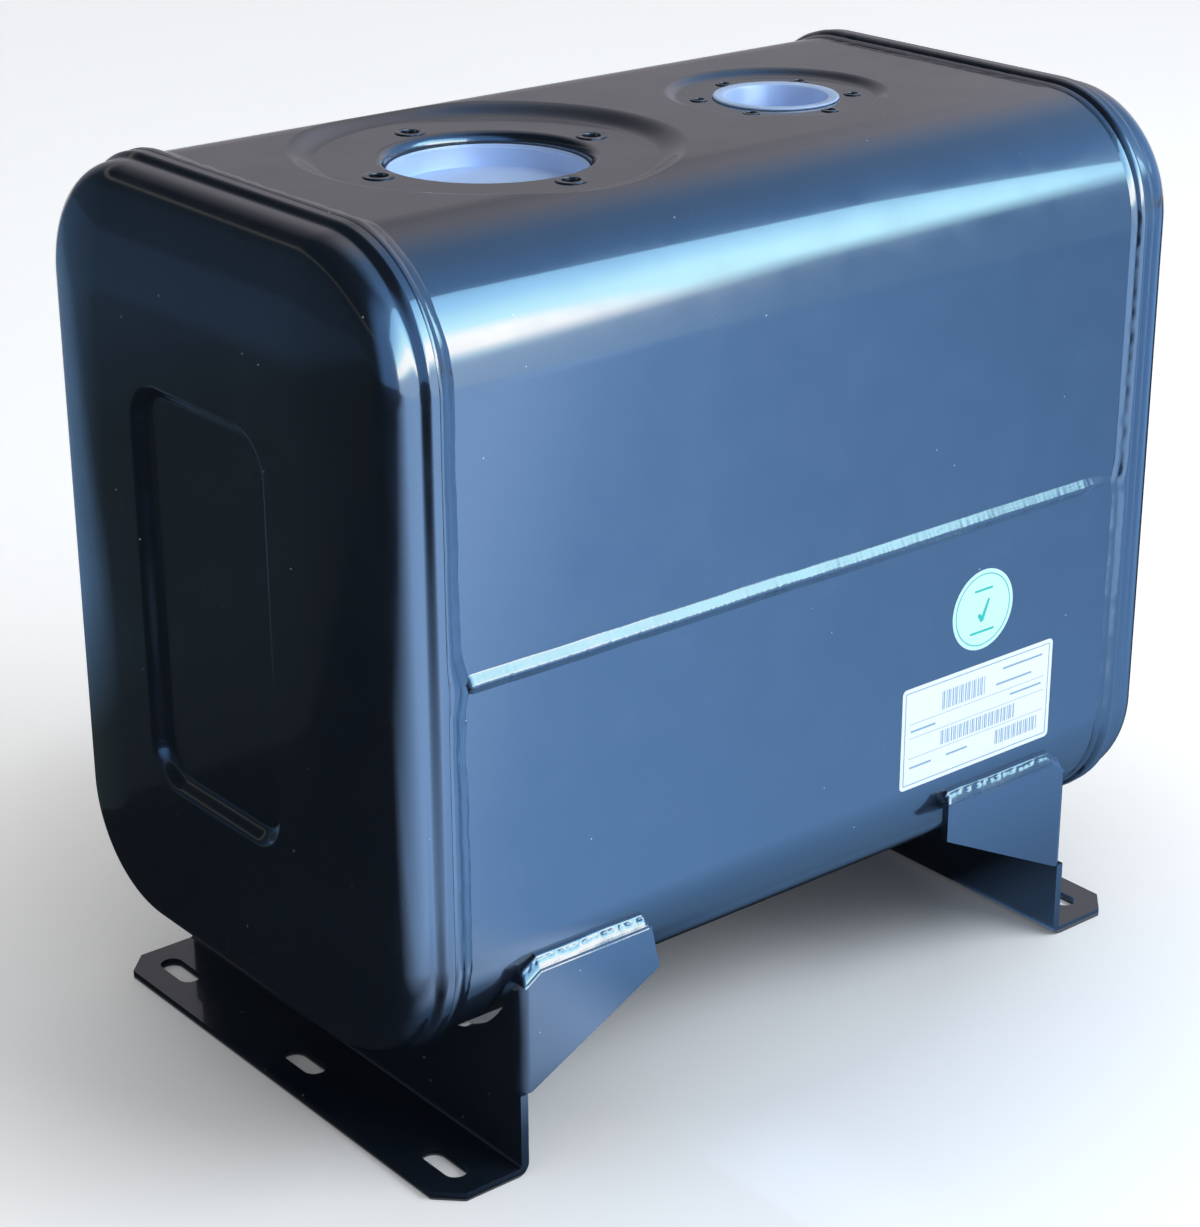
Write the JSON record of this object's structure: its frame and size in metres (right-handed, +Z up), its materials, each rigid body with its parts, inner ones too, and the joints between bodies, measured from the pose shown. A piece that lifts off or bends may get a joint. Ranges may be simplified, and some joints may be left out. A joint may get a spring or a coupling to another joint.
{
  "type": "rectangular steel oil tank on feet",
  "caption": "Rectangular welded sheet-steel oil tank with rounded corners, pressed end caps, two flanged ports in the top, and two bent-plate feet with slotted flanges.",
  "frame": {"origin": "on the ground under the feet, at the middle of the tank's footprint", "axes": "+X along the tank towards the small port, -Y towards the side with the welded seam, +Z up"},
  "size_m": [0.465, 0.2686, 0.4188],
  "materials": {
    "paint": "gloss",
    "weld": "gloss",
    "plug": "satin",
    "insert": "satin"
  },
  "bodies": {
    "root": {"shell": "paint", "left_end_cap": "paint", "right_end_cap": "paint", "seam_weld": "weld", "left_end_weld": "weld", "right_end_weld": "weld", "left_foot": "paint", "right_foot": "paint", "left_front_ear_weld": "weld", "left_rear_ear_weld": "weld", "right_front_ear_weld": "weld", "right_rear_ear_weld": "weld", "large_port_plug": "plug", "small_port_plug": "plug", "large_port_insert_1": "insert", "large_port_insert_2": "insert", "large_port_insert_3": "insert", "large_port_insert_4": "insert", "small_port_insert_1": "insert", "small_port_insert_2": "insert", "small_port_insert_3": "insert", "small_port_insert_4": "insert", "small_port_insert_5": "insert", "small_port_insert_6": "insert"}
  },
  "joints": []
}
